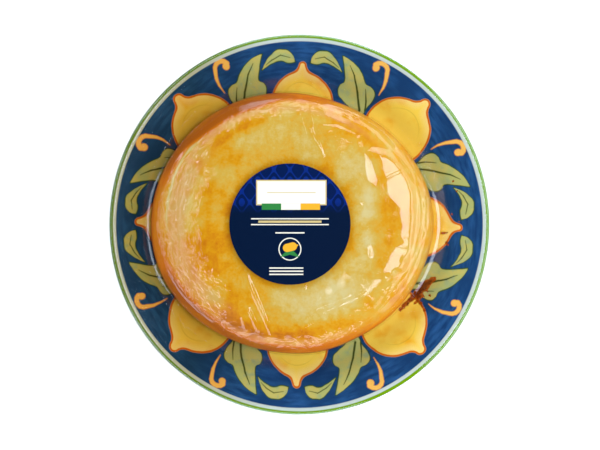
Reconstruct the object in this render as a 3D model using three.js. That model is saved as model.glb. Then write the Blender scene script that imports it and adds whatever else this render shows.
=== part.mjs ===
// A round of baked ricotta on a shallow ceramic plate, shrink-wrapped in clear film, with a round
// paper label stuck on the film. Millimetres, +Z up. The origin is on the plate's axis, in the plane
// that its foot stands on. +Y is the top of the label, +X its right-hand side.
import * as THREE from "three";

// ---- Driving dimensions ----

const STEPS_AROUND = 60;

const PLATE_DIAMETER = 160;
const PLATE_THICKNESS = 4.2; // at the well
const LIP_THICKNESS = 3.4;
const WELL_LEVEL = 7; // height of the well's floor
const WELL_RADIUS = 58; // where the floor turns up into the rim
const WELL_SLOPE = 0.52;
const RIM_BEND_RADIUS = 66; // where the rim flattens a little
const RIM_BEND_SLOPE = -0.2;
const BEND_SOFTNESS = 3;
const FOOT_INNER_RADIUS = 41.6;
const FOOT_OUTER_RADIUS = 46;
const FOOT_RECESS = 2.4;
const FOOT_DRAFT = 1.6; // how far the foot ring's sides lean
const PLATE_RING_STEP = 4; // radial spacing of the rim's facets

const CHEESE_LENGTH = 119.6;
const CHEESE_WIDTH = 110;
const CHEESE_HEIGHT = 20;
const CHEESE_CENTRE = new THREE.Vector2(-3.1, 0.3);
const CHEESE_TURN = -7.5; // degrees from +X to its long axis
const CHEESE_FLATNESS = 6.4; // exponent of the top: higher is flatter, with a tighter shoulder
const CHEESE_SIDE = 2.1; // exponent of the side: higher is more upright
const CHEESE_FOOT_ROUND = 1.5;
const CHEESE_RELIEF = 0.4;
const CHEESE_ROWS = 16; // from the middle of its top to its foot
const CHEESE_ROW_SPREAD = 2.2; // above 1 gathers the rows on the shoulder

const SEAT_GAP = 0.3;
const FILM_THICKNESS = 0.3;
const FILM_LEAVES_CHEESE = 14; // the last row that the film touches
const FILM_REACH = 2.2; // from the cheese's foot out to where the film meets the plate
const FILM_CORNER = 0.6; // how far from that foot the film's pull would meet
const FILM_BRIDGE_ROWS = 4;
const FILM_RIM_RINGS = [66.5, 69.5, 73, 76.5];

const LABEL_DIAMETER = 50;
const LABEL_THICKNESS = 0.3;
const LABEL_CENTRE = new THREE.Vector2(-3.9, 0.2);
const LABEL_MARGIN = 5; // the cheese is smooth this far out round the label

// ---- Small helpers ----

const radians = THREE.MathUtils.degToRad;
const stepAngle = (step) => (2 * Math.PI * step) / STEPS_AROUND;

// Zero before a bend and a straight slope of 1 after it, rounded over its softness.
const bend = (distance) => (distance + Math.hypot(distance, BEND_SOFTNESS)) / 2;

// A closed body from meridians: each runs from one pole to the other, and all share both poles.
function bodyOfMeridians(meridians) {
  const rows = meridians[0].length;
  const count = meridians.length;
  const positions = [meridians[0][0], meridians[0][rows - 1]].flatMap((p) => p.toArray());
  for (const meridian of meridians) {
    for (const point of meridian.slice(1, -1)) positions.push(...point.toArray());
  }
  const at = (step, row) => 2 + (step % count) * (rows - 2) + row - 1;
  const faces = [];
  for (let step = 0; step < count; step++) {
    faces.push(0, at(step, 1), at(step + 1, 1));
    faces.push(1, at(step + 1, rows - 2), at(step, rows - 2));
    for (let row = 1; row < rows - 2; row++) {
      faces.push(at(step, row), at(step, row + 1), at(step + 1, row + 1));
      faces.push(at(step, row), at(step + 1, row + 1), at(step + 1, row));
    }
  }
  const geometry = new THREE.BufferGeometry();
  geometry.setAttribute("position", new THREE.Float32BufferAttribute(positions, 3));
  geometry.setIndex(faces);
  return geometry;
}

// The same meridians moved outwards along the surface that they span.
function liftedMeridians(meridians, distance) {
  const count = meridians.length;
  return meridians.map((meridian, step) =>
    meridian.map((point, row) => {
      if (row === 0) return point.clone().setZ(point.z + distance);
      const along = meridian[Math.min(row + 1, meridian.length - 1)].clone().sub(meridian[row - 1]);
      const around = meridians[(step + 1) % count][row]
        .clone()
        .sub(meridians[(step + count - 1) % count][row]);
      const outwards = along.cross(around).normalize();
      return point.clone().addScaledVector(outwards, distance);
    }),
  );
}

function namedMesh(name, geometry, look) {
  const mesh = new THREE.Mesh(geometry, new THREE.MeshStandardMaterial(look));
  mesh.name = name;
  return mesh;
}

// ---- Plate ----

function plateTop(radius) {
  const rise = WELL_SLOPE * bend(radius - WELL_RADIUS);
  return WELL_LEVEL + rise + RIM_BEND_SLOPE * bend(radius - RIM_BEND_RADIUS);
}

// A point at this share of the way through the plate's wall, square to its top.
function plateWallPoint(radius, share) {
  const slope = plateTop(radius + 0.5) - plateTop(radius - 0.5);
  const thinning = (radius - FOOT_OUTER_RADIUS) / (PLATE_DIAMETER / 2 - FOOT_OUTER_RADIUS);
  const wall = THREE.MathUtils.lerp(PLATE_THICKNESS, LIP_THICKNESS, thinning);
  const depth = (share * wall) / Math.hypot(1, slope);
  return new THREE.Vector2(radius + slope * depth, plateTop(radius) - depth);
}

// The rim ends in a half round. turn is 90 degrees at its top and -90 at its underside.
function lipPoint(turn) {
  const radius = LIP_THICKNESS / 2;
  const centre = PLATE_DIAMETER / 2 - radius;
  return new THREE.Vector2(
    centre + radius * Math.cos(radians(turn)),
    plateTop(centre) - radius + radius * Math.sin(radians(turn)),
  );
}

const LIP_TURNS = [75, 45, 15, -15, -45, -75];

function plateProfile() {
  const innerRadius = WELL_RADIUS - PLATE_RING_STEP;
  const outerRadius = PLATE_DIAMETER / 2 - LIP_THICKNESS;
  const rings = [];
  for (let radius = innerRadius; radius < outerRadius; radius += PLATE_RING_STEP) rings.push(radius);
  return [
    new THREE.Vector2(0, FOOT_RECESS),
    new THREE.Vector2(FOOT_INNER_RADIUS - FOOT_DRAFT, FOOT_RECESS),
    new THREE.Vector2(FOOT_INNER_RADIUS, 0),
    new THREE.Vector2(FOOT_OUTER_RADIUS, 0),
    new THREE.Vector2(FOOT_OUTER_RADIUS + FOOT_DRAFT, WELL_LEVEL - PLATE_THICKNESS),
    ...rings.map((radius) => plateWallPoint(radius, 1)),
    ...[...LIP_TURNS].reverse().map(lipPoint),
    ...[...rings, outerRadius].reverse().map((radius) => new THREE.Vector2(radius, plateTop(radius))),
    new THREE.Vector2(0, WELL_LEVEL),
  ];
}

function plateGeometry() {
  return new THREE.LatheGeometry(plateProfile(), STEPS_AROUND).rotateX(Math.PI / 2);
}

// ---- Cheese ----

// Distance from the cheese's centre to its foot: an oval with a hand-formed unevenness.
function cheeseReach(angle) {
  const mean = (CHEESE_LENGTH + CHEESE_WIDTH) / 4;
  const oval = ((CHEESE_LENGTH - CHEESE_WIDTH) / 4) * Math.cos(2 * (angle - radians(CHEESE_TURN)));
  return mean + oval + 0.35 * Math.cos(3 * angle + 1.1) + 0.3 * Math.cos(4 * angle - 1.2);
}

// Low, soft hollows and swells, which fade out towards the label and the foot.
function cheeseRelief(x, y, share) {
  const fromLabel = Math.hypot(x - LABEL_CENTRE.x, y - LABEL_CENTRE.y) - LABEL_DIAMETER / 2;
  const clear = THREE.MathUtils.smoothstep(fromLabel, 0, LABEL_MARGIN * 2);
  const swell = Math.sin(x / 7.3 + 1.9 * Math.sin(y / 11)) * Math.cos(y / 6.1 + 0.8 * Math.sin(x / 9));
  return CHEESE_RELIEF * swell * clear * (1 - share ** 8);
}

// turn runs from 0 at the middle of the top to 90 degrees at the foot.
function cheeseTop(angle, turn) {
  const share = Math.sin(radians(turn)) ** (2 / CHEESE_FLATNESS);
  const radius = share * cheeseReach(angle);
  const x = CHEESE_CENTRE.x + radius * Math.cos(angle);
  const y = CHEESE_CENTRE.y + radius * Math.sin(angle);
  const foot = cheeseFoot(angle, 1).z + CHEESE_FOOT_ROUND;
  const height = WELL_LEVEL + SEAT_GAP + CHEESE_HEIGHT - foot;
  const drop = Math.max(Math.cos(radians(turn)), 0) ** (2 / CHEESE_SIDE);
  return new THREE.Vector3(x, y, foot + height * drop + cheeseRelief(x, y, share));
}

// The underside lies on the plate, and share is how far out it is.
function cheeseFoot(angle, share) {
  const radius = share * cheeseReach(angle);
  const x = CHEESE_CENTRE.x + radius * Math.cos(angle);
  const y = CHEESE_CENTRE.y + radius * Math.sin(angle);
  return new THREE.Vector3(x, y, plateTop(Math.hypot(x, y)) + SEAT_GAP);
}

// The rows of its top and side, down to the last one asked for.
function cheeseRows(angle, last) {
  const rows = [];
  for (let row = 0; row <= last; row++) {
    rows.push(cheeseTop(angle, 90 * (row / CHEESE_ROWS) ** CHEESE_ROW_SPREAD));
  }
  return rows;
}

const CHEESE_UNDERSIDE = [0.975, 0.94, 0.9, 0.85, 0];

function cheeseGeometry() {
  const meridians = [];
  for (let step = 0; step < STEPS_AROUND; step++) {
    const angle = stepAngle(step);
    const underside = CHEESE_UNDERSIDE.map((share) => cheeseFoot(angle, share));
    meridians.push([...cheeseRows(angle, CHEESE_ROWS), ...underside]);
  }
  return bodyOfMeridians(meridians);
}

// ---- Film ----

// What the film lies on: the cheese, a short bridge to the plate, and the plate out round its lip.
function filmBed(angle) {
  const onCheese = cheeseRows(angle, FILM_LEAVES_CHEESE);
  const foot = cheeseFoot(angle, 1);
  const away = new THREE.Vector2(foot.x - CHEESE_CENTRE.x, foot.y - CHEESE_CENTRE.y).normalize();
  const onPlate = (distance) => {
    const x = foot.x + away.x * distance;
    const y = foot.y + away.y * distance;
    return new THREE.Vector3(x, y, plateTop(Math.hypot(x, y)));
  };
  const corner = onPlate(FILM_CORNER);
  corner.z += FILM_CORNER;
  const bridge = new THREE.QuadraticBezierCurve3(onCheese.at(-1), corner, onPlate(FILM_REACH));
  const onLip = LIP_TURNS.map(lipPoint);
  const onRim = FILM_RIM_RINGS.map((radius) => new THREE.Vector2(radius, plateTop(radius)));
  return [
    ...onCheese,
    ...bridge.getPoints(FILM_BRIDGE_ROWS).slice(1),
    ...[...onRim, ...onLip].map(
      (p) => new THREE.Vector3(p.x * Math.cos(angle), p.x * Math.sin(angle), p.y),
    ),
  ];
}

function filmGeometry() {
  const bed = [];
  for (let step = 0; step < STEPS_AROUND; step++) bed.push(filmBed(stepAngle(step)));
  const inside = liftedMeridians(bed, SEAT_GAP);
  const outside = liftedMeridians(bed, SEAT_GAP + FILM_THICKNESS);
  return bodyOfMeridians(outside.map((meridian, step) => [...meridian, ...inside[step].reverse()]));
}

// ---- Label ----

function labelGeometry() {
  const bottom = cheeseTop(0, 0).z + SEAT_GAP + FILM_THICKNESS + SEAT_GAP;
  const radius = LABEL_DIAMETER / 2;
  return new THREE.CylinderGeometry(radius, radius, LABEL_THICKNESS, STEPS_AROUND)
    .rotateX(Math.PI / 2)
    .translate(LABEL_CENTRE.x, LABEL_CENTRE.y, bottom + LABEL_THICKNESS / 2);
}

// ---- The wrapped cheese on its plate ----

const wrappedRicotta = new THREE.Group();
wrappedRicotta.add(
  namedMesh("plate", plateGeometry(), { color: 0x1f4a86, roughness: 0.18, metalness: 0 }),
  namedMesh("ricotta", cheeseGeometry(), { color: 0xe3b04b, roughness: 0.55, metalness: 0 }),
  namedMesh("film", filmGeometry(), {
    color: 0xffffff,
    roughness: 0.08,
    metalness: 0,
    transparent: true,
    opacity: 0.15,
  }),
  namedMesh("label", labelGeometry(), { color: 0x0b1f44, roughness: 0.35, metalness: 0 }),
);

export default wrappedRicotta;
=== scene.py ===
"""A round of baked ricotta on a painted earthenware plate, in clear shrink film with a paper label."""
import math
import random

import bpy
import numpy as np
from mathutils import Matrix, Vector, noise


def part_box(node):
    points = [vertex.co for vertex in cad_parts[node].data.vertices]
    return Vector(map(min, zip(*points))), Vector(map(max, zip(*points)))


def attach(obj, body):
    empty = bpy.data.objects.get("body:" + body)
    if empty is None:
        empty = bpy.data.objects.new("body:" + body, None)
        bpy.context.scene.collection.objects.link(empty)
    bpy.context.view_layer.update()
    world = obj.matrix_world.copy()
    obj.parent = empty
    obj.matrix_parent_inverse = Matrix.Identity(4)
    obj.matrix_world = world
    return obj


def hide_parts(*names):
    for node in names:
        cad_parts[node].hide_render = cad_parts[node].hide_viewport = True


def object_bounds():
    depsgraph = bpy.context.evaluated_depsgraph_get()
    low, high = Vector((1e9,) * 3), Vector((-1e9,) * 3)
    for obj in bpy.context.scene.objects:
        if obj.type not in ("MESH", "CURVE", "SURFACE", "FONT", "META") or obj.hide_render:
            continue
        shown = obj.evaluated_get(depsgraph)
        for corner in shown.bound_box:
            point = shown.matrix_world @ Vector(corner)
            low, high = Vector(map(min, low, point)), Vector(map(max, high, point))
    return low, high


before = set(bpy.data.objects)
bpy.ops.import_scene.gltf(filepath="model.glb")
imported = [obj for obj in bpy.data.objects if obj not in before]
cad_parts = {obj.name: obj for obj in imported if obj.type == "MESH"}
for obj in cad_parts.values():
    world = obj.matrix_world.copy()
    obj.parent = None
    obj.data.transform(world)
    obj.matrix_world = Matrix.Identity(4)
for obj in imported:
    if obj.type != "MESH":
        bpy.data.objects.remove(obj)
cad_low, cad_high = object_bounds()

MM = 0.001

# ---- Sizes in millimetres ----

PLATE_RADIUS = 80.0
LIP_RADIUS = 1.7
PLATE_THICKNESS = 4.2
WELL_LEVEL = 7.0
WELL_RADIUS = 58.0
WELL_SLOPE = 0.52
RIM_BEND_RADIUS = 66.0
RIM_BEND_SLOPE = -0.2
BEND_SOFTNESS = 3.0
FOOT_INNER_RADIUS = 41.6
FOOT_OUTER_RADIUS = 46.0
FOOT_RECESS = 2.4
FOOT_DRAFT = 1.6
FOOT_CHAMFER_WIDTH = 0.5
FOOT_CHAMFER_HEIGHT = 0.4

CHEESE_LENGTH = 119.6
CHEESE_WIDTH = 110.0
CHEESE_HEIGHT = 20.0
CHEESE_MEAN_RADIUS = 57.0
CHEESE_CENTRE = (-3.1, 0.3)
CHEESE_TURN = math.radians(-7.5)
CHEESE_FLATNESS = 6.4
CHEESE_SIDE = 2.1
CHEESE_FOOT_ROUND = 1.5
CHEESE_RELIEF = 0.4
# Waves round the cheese's outline: how many, how high and their phase.
CHEESE_UNEVENNESS = [(3, 0.35, 1.1), (4, 0.3, -1.2)]
# A flatter place in the outline: its direction and spread in degrees, and its depth.
CHEESE_DENT = (-40, 42, 1.3)

GAP = 0.3
FILM_STANDS_OFF = 0.1
FILM_TOP_CLEARANCE = 0.02
FILM_LEAVES_CHEESE = math.radians(67)

LABEL_RADIUS = 25.0
LABEL_CENTRE = (-3.9, 0.2)
LABEL_MARGIN = 10.0
LABEL_BEVEL = 0.08

random.seed(7)


# ---- Making meshes ----


def deselect_all():
    bpy.ops.object.select_all(action="DESELECT")


def turned(name, profile, steps):
    """A round body: its profile, drawn from axis to axis as (radius, level), turned full circle."""
    deselect_all()
    bpy.ops.mesh.primitive_plane_add(size=MM)
    body = bpy.context.object
    body.name = name
    bpy.ops.object.mode_set(mode="EDIT")
    bpy.ops.mesh.merge(type="CENTER")
    bpy.ops.transform.translate(value=(profile[0][0] * MM, 0, profile[0][1] * MM))
    for (radius, level), (next_radius, next_level) in zip(profile, profile[1:]):
        way = ((next_radius - radius) * MM, 0, (next_level - level) * MM)
        bpy.ops.mesh.extrude_vertices_move(TRANSFORM_OT_translate={"value": way})
    bpy.ops.mesh.select_all(action="SELECT")
    bpy.ops.mesh.spin(steps=steps, angle=math.tau, center=(0, 0, 0), axis=(0, 0, 1))
    bpy.ops.mesh.select_all(action="SELECT")
    bpy.ops.mesh.remove_doubles(threshold=1e-6)
    bpy.ops.mesh.normals_make_consistent(inside=False)
    bpy.ops.object.mode_set(mode="OBJECT")
    bpy.ops.object.shade_smooth()
    return body


def ringed(name, rings, marks):
    """A skin over rings of points, from a pole outwards. marks gives every point a named number."""
    rows, steps = rings.shape[:2]
    deselect_all()
    bpy.ops.mesh.primitive_grid_add(x_subdivisions=steps, y_subdivisions=rows - 1)
    skin = bpy.context.object
    skin.name = name
    closed = np.concatenate([rings, rings[:, :1]], axis=1) * MM
    skin.data.vertices.foreach_set("co", closed.astype(np.float32).ravel())
    for mark, values in marks.items():
        values = np.concatenate([values, values[:, :1]], axis=1)
        layer = skin.data.attributes.new(mark, "FLOAT", "POINT")
        layer.data.foreach_set("value", values.astype(np.float32).ravel())
    bpy.ops.object.mode_set(mode="EDIT")
    bpy.ops.mesh.select_all(action="SELECT")
    bpy.ops.mesh.remove_doubles(threshold=1e-6)
    bpy.ops.mesh.normals_make_consistent(inside=False)
    bpy.ops.object.mode_set(mode="OBJECT")
    bpy.ops.object.shade_smooth()
    return skin


def lifted(rings, distance):
    """The rings moved outwards, square to the surface that they span."""
    along = np.gradient(rings, axis=0)
    around = np.roll(rings, -1, axis=1) - np.roll(rings, 1, axis=1)
    outwards = np.cross(along, around)
    outwards[0] = (0, 0, 1)
    outwards /= np.maximum(np.linalg.norm(outwards, axis=2, keepdims=True), 1e-9)
    return rings + outwards * np.broadcast_to(distance, rings.shape[:2])[..., None]


def finish_with(piece, kind, **settings):
    """Adds one modifier and applies it."""
    deselect_all()
    piece.select_set(True)
    bpy.context.view_layer.objects.active = piece
    modifier = piece.modifiers.new(kind.title(), kind)
    for name, value in settings.items():
        setattr(modifier, name, value)
    bpy.ops.object.modifier_apply(modifier=modifier.name)


def stands_for(piece, node, material):
    """Puts a finished piece in the place of its solid."""
    piece.data.materials.clear()
    piece.data.materials.append(material)
    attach(piece, "root")
    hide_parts(node)


# ---- Making materials ----


def linear(code):
    """An sRGB hex colour as linear light."""
    parts = [int(code[i : i + 2], 16) / 255 for i in (1, 3, 5)]
    return (*[p / 12.92 if p <= 0.04045 else ((p + 0.055) / 1.055) ** 2.4 for p in parts], 1.0)


def add_node(tree, kind, *inputs, named=None, output=0, **settings):
    """Adds a node with its settings. An input is a socket to link to, a value to set, or None."""
    node = tree.nodes.new("ShaderNode" + kind)
    for name, value in settings.items():
        setattr(node, name, value)
    for key, value in [*enumerate(inputs), *(named or {}).items()]:
        if isinstance(value, bpy.types.NodeSocket):
            tree.links.new(value, node.inputs[key])
        elif value is not None:
            node.inputs[key].default_value = value
    return node.outputs[output]


def new_material(name):
    material = bpy.data.materials.new(name)
    material.use_nodes = True
    material.node_tree.nodes.clear()
    return material, material.node_tree


def show(tree, shader):
    """Makes this shader the one that the surface shows."""
    surface = tree.nodes.new("ShaderNodeOutputMaterial").inputs["Surface"]
    tree.links.new(shader, surface)


def in_millimetres(tree):
    place = add_node(tree, "TexCoord", output="Object")
    return add_node(tree, "VectorMath", place, named={"Scale": 1 / MM}, operation="SCALE")


def blend(tree, share, below, above):
    """The colour above laid over the one below by its share."""
    return add_node(tree, "Mix", share, named={6: below, 7: above}, output=2, data_type="RGBA")


def mottle(tree, place, size, detail=2.0, low=0.35, high=0.65, stretch=None):
    """Soft cloudy patches, this many millimetres across, from 0 to 1."""
    if stretch:
        place = add_node(tree, "VectorMath", place, stretch, operation="MULTIPLY")
    cloud = add_node(tree, "TexNoise", named={"Vector": place, "Scale": 1 / size, "Detail": detail})
    return add_node(tree, "MapRange", cloud, low, high, 0.0, 1.0, interpolation_type="SMOOTHSTEP")


# ---- Forms shared by the cheese and the film ----


def bend(distance):
    """Zero before a bend and a straight slope of 1 after it."""
    return (distance + np.hypot(distance, BEND_SOFTNESS)) / 2


def plate_top(radius):
    rise = WELL_SLOPE * bend(radius - WELL_RADIUS)
    return WELL_LEVEL + rise + RIM_BEND_SLOPE * bend(radius - RIM_BEND_RADIUS)


def lip_point(turn):
    centre = PLATE_RADIUS - LIP_RADIUS
    level = plate_top(centre) - LIP_RADIUS
    return centre + LIP_RADIUS * np.cos(turn), level + LIP_RADIUS * np.sin(turn)


def cheese_reach(angle):
    """Distance from the cheese's centre to its foot."""
    oval = (CHEESE_LENGTH - CHEESE_WIDTH) / 4 * np.cos(2 * (angle - CHEESE_TURN))
    unevenness = sum(height * np.cos(n * angle + phase) for n, height, phase in CHEESE_UNEVENNESS)
    dent_middle, dent_spread, dent_depth = CHEESE_DENT
    unevenness -= dent_depth * facing(np.degrees(angle), dent_middle, dent_spread)
    return (CHEESE_LENGTH + CHEESE_WIDTH) / 4 + oval + unevenness


def cheese_plan(angle, share):
    radius = share * cheese_reach(angle)
    x = CHEESE_CENTRE[0] + radius * np.cos(angle)
    y = CHEESE_CENTRE[1] + radius * np.sin(angle)
    return x, y


def cheese_relief(x, y, share):
    """Low hollows and swells that fade out towards the label and the foot."""
    clear = step_up(from_label(x, y), 0, LABEL_MARGIN)
    swell = np.sin(x / 7.3 + 1.9 * np.sin(y / 11)) * np.cos(y / 6.1 + 0.8 * np.sin(x / 9))
    return CHEESE_RELIEF * swell * clear * (1 - share**8)


def cheese_foot(angle, share=1.0):
    x, y = cheese_plan(angle, share)
    return np.stack([x, y, plate_top(np.hypot(x, y)) + GAP], axis=-1)


def cheese_top(angle, turn):
    """turn runs from 0 at the middle of the top to a right angle at the foot."""
    share = np.sin(turn) ** (2 / CHEESE_FLATNESS)
    x, y = cheese_plan(angle, share)
    foot = cheese_foot(angle)[..., 2] + CHEESE_FOOT_ROUND
    height = WELL_LEVEL + GAP + CHEESE_HEIGHT - foot
    drop = np.clip(np.cos(turn), 0, 1) ** (2 / CHEESE_SIDE)
    return np.stack([x, y, foot + height * drop + cheese_relief(x, y, share)], axis=-1)


def turns_down(last):
    """Rows down to the last turn, close together where the top is seen and more so at the shoulder."""
    under_label = np.linspace(0, 0.42, 4)
    beside_label = np.linspace(0.44, 0.62, 18)
    shoulder = np.linspace(0.625, 0.86, 46)
    shares = np.concatenate([under_label, beside_label, shoulder])
    top = np.arcsin(shares ** (CHEESE_FLATNESS / 2))
    return np.concatenate([top, np.linspace(top[-1], last, 37)[1:]])


def cloud(x, y, size, layer=0.0):
    """Smooth noise over the plan, from about -1 to 1, with swells this many millimetres across."""
    spots = zip((x / size).ravel(), (y / size).ravel())
    return np.array([noise.noise((a, b, layer)) for a, b in spots]).reshape(x.shape)


def rough(x, y, swells):
    """Noise of several sizes: how many millimetres across, how strong, and its layer."""
    return sum(weight * cloud(x, y, size, layer) for size, weight, layer in swells)


def strayed(x, y, swells):
    """Places shifted by noise: how far, how many millimetres across, and its layers for x and y."""
    new_x, new_y = x, y
    for reach, size, layer_x, layer_y in swells:
        new_x = new_x + reach * cloud(x, y, size, layer_x)
        new_y = new_y + reach * cloud(x, y, size, layer_y)
    return new_x, new_y


def step_up(value, low, high):
    """0 below low, 1 above high and smooth in between."""
    share = np.clip((value - low) / (high - low), 0, 1)
    return share * share * (3 - 2 * share)


def from_label(x, y):
    """Distance outside the label's edge."""
    return np.hypot(x - LABEL_CENTRE[0], y - LABEL_CENTRE[1]) - LABEL_RADIUS


def from_cheese_centre(x, y):
    """The direction from the cheese's centre in degrees, and the share of the way to its foot."""
    x, y = x - CHEESE_CENTRE[0], y - CHEESE_CENTRE[1]
    angle = np.arctan2(y, x)
    return np.degrees(angle) % 360, np.hypot(x, y) / cheese_reach(angle)


def facing(angle, middle, spread):
    """1 in the middle of a range of directions, fading to 0 at its ends."""
    apart = np.abs((angle - middle + 180) % 360 - 180)
    return step_up(-apart, -spread, -spread * 0.4)


def dipping(angle, share, dips):
    """A share of the way to the foot, lower by a depth round a direction, with its spread."""
    return share - sum(depth * facing(angle, middle, spread) for depth, middle, spread in dips)


def crease(x, y, points, width, height):
    """A ridge along a line of points that dies away at both ends."""
    lengths = [math.dist(start, end) for start, end in zip(points, points[1:])]
    nearest = np.full(x.shape, np.inf)
    along = np.zeros(x.shape)
    done = 0.0
    for (start_x, start_y), (end_x, end_y), length in zip(points, points[1:], lengths):
        way_x, way_y = (end_x - start_x) / length, (end_y - start_y) / length
        reach = np.clip((x - start_x) * way_x + (y - start_y) * way_y, 0, length)
        away = np.hypot(x - start_x - reach * way_x, y - start_y - reach * way_y)
        along = np.where(away < nearest, (done + reach) / sum(lengths), along)
        nearest = np.minimum(away, nearest)
        done += length
    return height * np.sqrt(np.sin(math.pi * along)) * np.exp(-((nearest / width) ** 2))


# ---- Plate ----


def plate_profile():
    """From the axis underneath out over the foot and the lip, and back to the axis on top."""
    rim = np.arange(WELL_RADIUS - 6, PLATE_RADIUS - 1.4 * LIP_RADIUS, 1.0)
    wall = np.linspace(PLATE_THICKNESS, 2 * LIP_RADIUS, len(rim))
    slope = plate_top(rim + 0.5) - plate_top(rim - 0.5)
    depth = wall / np.hypot(1, slope)
    foot = [
        (FOOT_INNER_RADIUS - FOOT_DRAFT, FOOT_RECESS),
        (FOOT_INNER_RADIUS, FOOT_CHAMFER_HEIGHT),
        (FOOT_INNER_RADIUS + FOOT_CHAMFER_WIDTH, 0),
        (FOOT_OUTER_RADIUS - FOOT_CHAMFER_WIDTH, 0),
        (FOOT_OUTER_RADIUS, FOOT_CHAMFER_HEIGHT),
        (FOOT_OUTER_RADIUS + FOOT_DRAFT, WELL_LEVEL - PLATE_THICKNESS),
    ]
    under = zip(rim + slope * depth, plate_top(rim) - depth)
    lip = [lip_point(turn) for turn in np.radians(np.arange(-75, 106, 12))]
    top = [(radius, plate_top(radius)) for radius in rim[::-1]]
    underside = [(0, FOOT_RECESS), (20, FOOT_RECESS), *foot, *under]
    return [*underside, *lip, *top, (30, WELL_LEVEL), (0, WELL_LEVEL)]


WHITE_LINE_RADIUS = 77.1
GREEN_LINE_RADIUS = 78.45
LINE_BLUR = 0.15
PLATE_STEPS = 240
BARE_FOOT_LEVEL = 0.25
UNDERSIDE_FACING = -0.15
# From where to where painted shade darkens the plate's colours, towards the left.
LEFT_SHADE_SPAN = (-12.0, -45.0)
# How far a hand strays and trembles: millimetres between its swings, and their reach.
HAND_SWINGS = [(26, 2.6), (3.0, 0.35)]
ORNAMENT_TURN = math.radians(1)
# Brush marks round the plate: how fine they are along the stroke for each radian, and across it.
BRUSH_RUN = 14.0
BRUSH_HAIRS = 1.6

# Edges and veins of the leaves, as (outwards, aside) from the middle line of the motif.
BIG_LEAF_INNER_EDGE = [
    (46, 22.5), (50, 20.5), (53.5, 17.2), (57, 15.4), (59.5, 16.2), (61, 18.2), (65.8, 17.9),
    (71.6, 17.0),
]
BIG_LEAF_OUTER_EDGE = [
    (46, 25.5), (50, 27.5), (53.5, 30.2), (56, 30.9), (58.2, 29.6), (59.6, 27.3), (62.7, 26),
    (67, 23.2), (71.6, 17.2),
]
BIG_LEAF_ENDS = (46, 71.4)
BIG_LEAF_VEINS = [
    ([(49, 24.6), (56, 23.8), (63, 22.2), (67.5, 20.2)], [0.5, 0.42, 0.32, 0.12]),
    ([(49, 27.0), (53, 27.4), (57.5, 27.2)], [0.4, 0.3, 0.12]),
]
SMALL_LEAF_VEINS = [([(70.2, 5.5), (71.0, 9.5), (69.0, 13.0), (67.0, 15.2)], [0.12, 0.2, 0.2, 0.1])]
# The small leaf lies across, so its edges are (aside, outwards).
SMALL_LEAF_TOP = [
    (3.6, 69), (4.5, 71.4), (7, 73.2), (10.3, 73.3), (13.8, 70.6), (15.5, 67.8), (16.6, 65.2),
]
SMALL_LEAF_BOTTOM = [(3.6, 68.6), (6.3, 68.1), (9.6, 68.8), (12.6, 67.8), (15, 66.3), (16.6, 65)]
SMALL_LEAF_ENDS = (3.6, 16.6)
# The curl's stem, its half-widths, and the drop at its end.
CURL_STEM = [(55.4, 32.6), (58.2, 34.4), (61.2, 35.6)]
CURL_STEM_WIDTHS = [0.2, 0.5, 0.75]
CURL_HOOK_CENTRE = (65.1, 33.1)
CURL_HOOK_RADIUS = 3.1
CURL_HOOK_TURNS = np.radians(range(110, -41, -25))
CURL_HOOK_WIDTHS = (0.9, 1.1)
CURL_DROP = (66.2, 31.5)
CURL_DROP_RADIUS = 1.6
# The lemons: middle, radius, and the nipple as a tapering stroke.
DIAGONAL_LEMON = (57.2, 14.4, ((68.4, 0), (73.2, 0), 4.4, 2.5))
AXIS_LEMON = (51.6, 13.3, ((61.0, 0), (67.2, 0), 3.6, 1.8))
NIPPLE_MELT = 3.5
# Lines inside an edge, as depth and width, and the leaf's outline outside it.
LEMON_CONTOUR_LINE = (4.8, 0.2)
LEMON_OUTLINE_LINE = (0.4, 0.8)
CURL_OUTLINE_LINE = (0.0, 0.3)
LEAF_OUTLINE_REACH = 0.45

LEMON_YELLOW = linear("#fed650")
LEMON_AMBER = linear("#f6a812")
LEMON_PALE = linear("#fbe09a")
LEMON_OUTLINE = linear("#d9660c")
LEMON_CONTOUR = linear("#a9761a")
LEAF_SAGE = linear("#b3b86c")
LEAF_OCHRE = linear("#c6ba64")
LEAF_GREY = linear("#a2ae78")
LEAF_VEIN = linear("#424c20")
LEAF_OUTLINE = linear("#2f4d20")
CURL_YELLOW = linear("#f6bb58")
CURL_OUTLINE = linear("#d67a24")
COBALT_DEEP = linear("#1b3e68")
COBALT_WASHED = linear("#2a578a")
WHITE_GLAZE = linear("#c7d1c5")
GREEN_LINE = linear("#6b920e")
BISCUIT = linear("#c9a583")
# The tint of the painted shade laid over the plate's left side.
LEFT_SHADE_TINT = linear("#dac8a6")


def hand_wavered(tree, place):
    """The same places, shifted a little as a hand strays and trembles while it paints."""
    for size, reach in HAND_SWINGS:
        stray = add_node(tree, "TexNoise", named={"Vector": place, "Scale": 1 / size}, output="Color")
        stray = add_node(tree, "VectorMath", stray, (0.5, 0.5, 0.5), operation="SUBTRACT")
        stray = add_node(tree, "VectorMath", stray, (reach, reach, 0), operation="MULTIPLY")
        place = add_node(tree, "VectorMath", place, stray, operation="ADD")
    return place


def motif_places(tree, radius, fold):
    """Folded places measured outwards along a motif's middle line, and away from it."""
    out = add_node(tree, "Math", fold, operation="COSINE")
    out = add_node(tree, "Math", out, radius, operation="MULTIPLY")
    aside = add_node(tree, "Math", fold, operation="SINE")
    aside = add_node(tree, "Math", aside, radius, operation="MULTIPLY")
    return add_node(tree, "CombineXYZ", out, aside)


def disc(tree, place, centre, radius):
    """Distance outside a round shape, negative inside."""
    reach = add_node(tree, "VectorMath", place, (*centre, 0), operation="DISTANCE", output=1)
    return add_node(tree, "Math", reach, radius, operation="SUBTRACT")


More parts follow.
